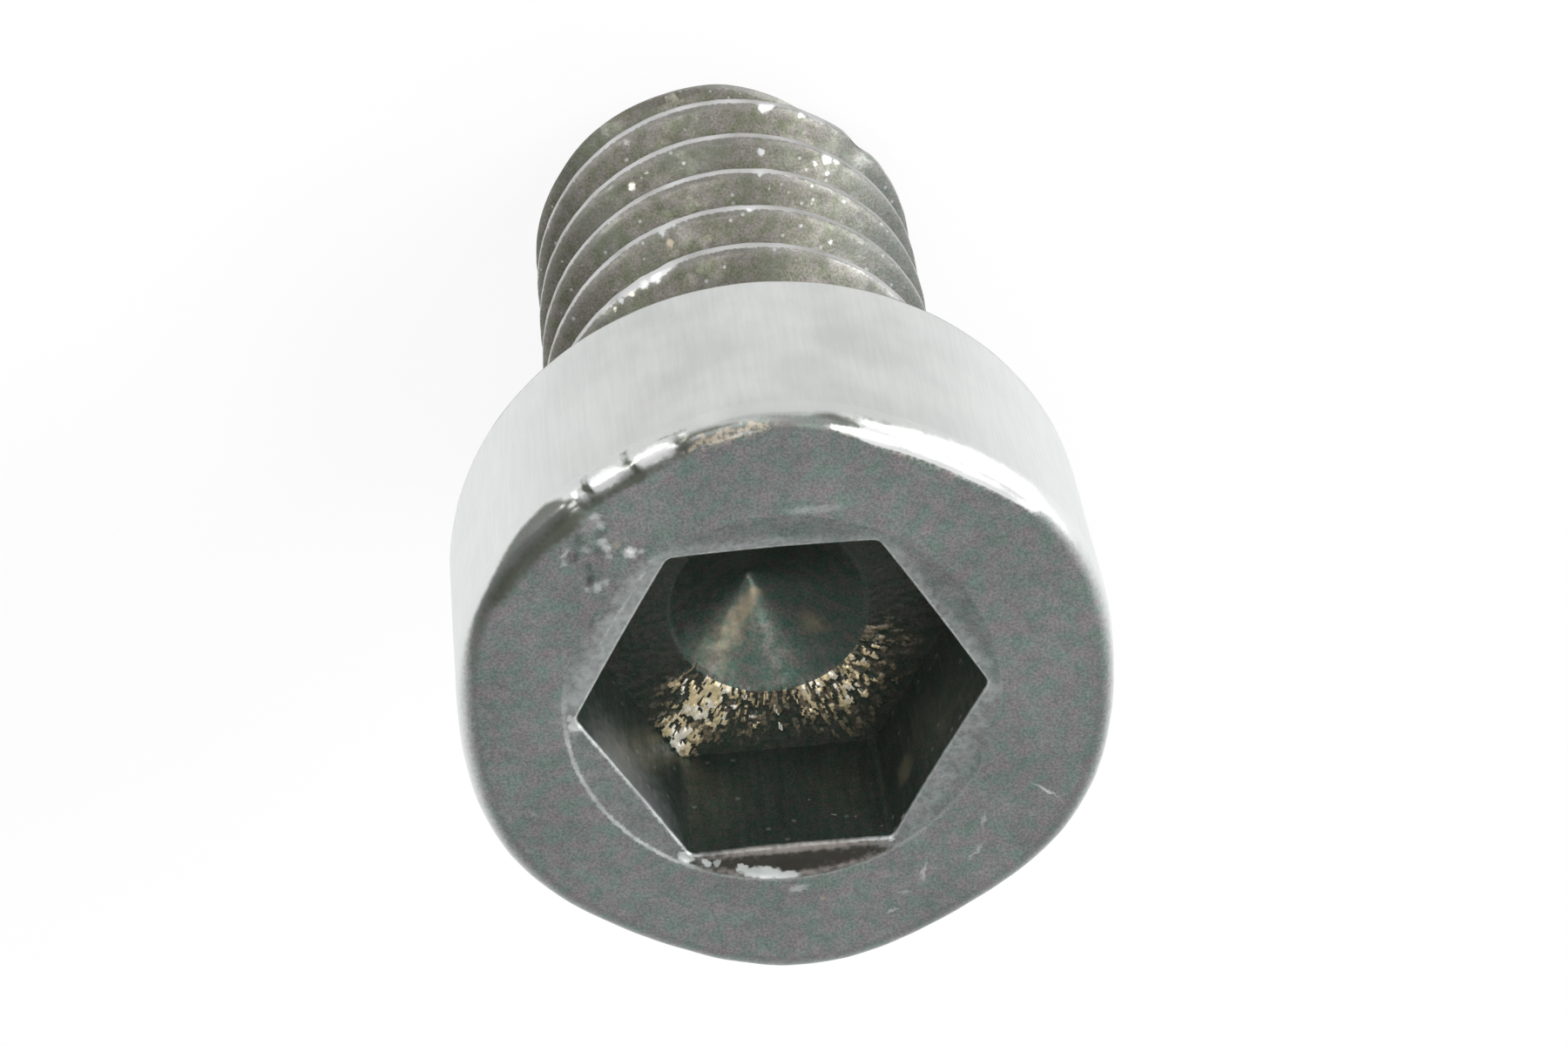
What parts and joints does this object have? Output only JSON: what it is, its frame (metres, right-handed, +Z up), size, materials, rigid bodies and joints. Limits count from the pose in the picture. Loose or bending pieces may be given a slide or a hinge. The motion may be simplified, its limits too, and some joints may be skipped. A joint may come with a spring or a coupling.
{
  "type": "thin-head hexagon-socket cap screw",
  "caption": "Short cap screw with a thin round head, a hexagon socket, and a coarse right-hand thread up to a short plain shoulder under the head.",
  "frame": {"origin": "centre of the flat end of the tip, on which the screw stands", "axes": "+Z up the screw's axis from tip to head; two corners of the hexagon socket lie on X; +Y away from the viewer"},
  "size_m": [0.0096, 0.0096, 0.0141],
  "materials": {
    "steel": "dark oxide-coloured steel with a fine satin grain, bright where edges are rubbed"
  },
  "bodies": {
    "root": {"screw": "steel"}
  },
  "joints": []
}
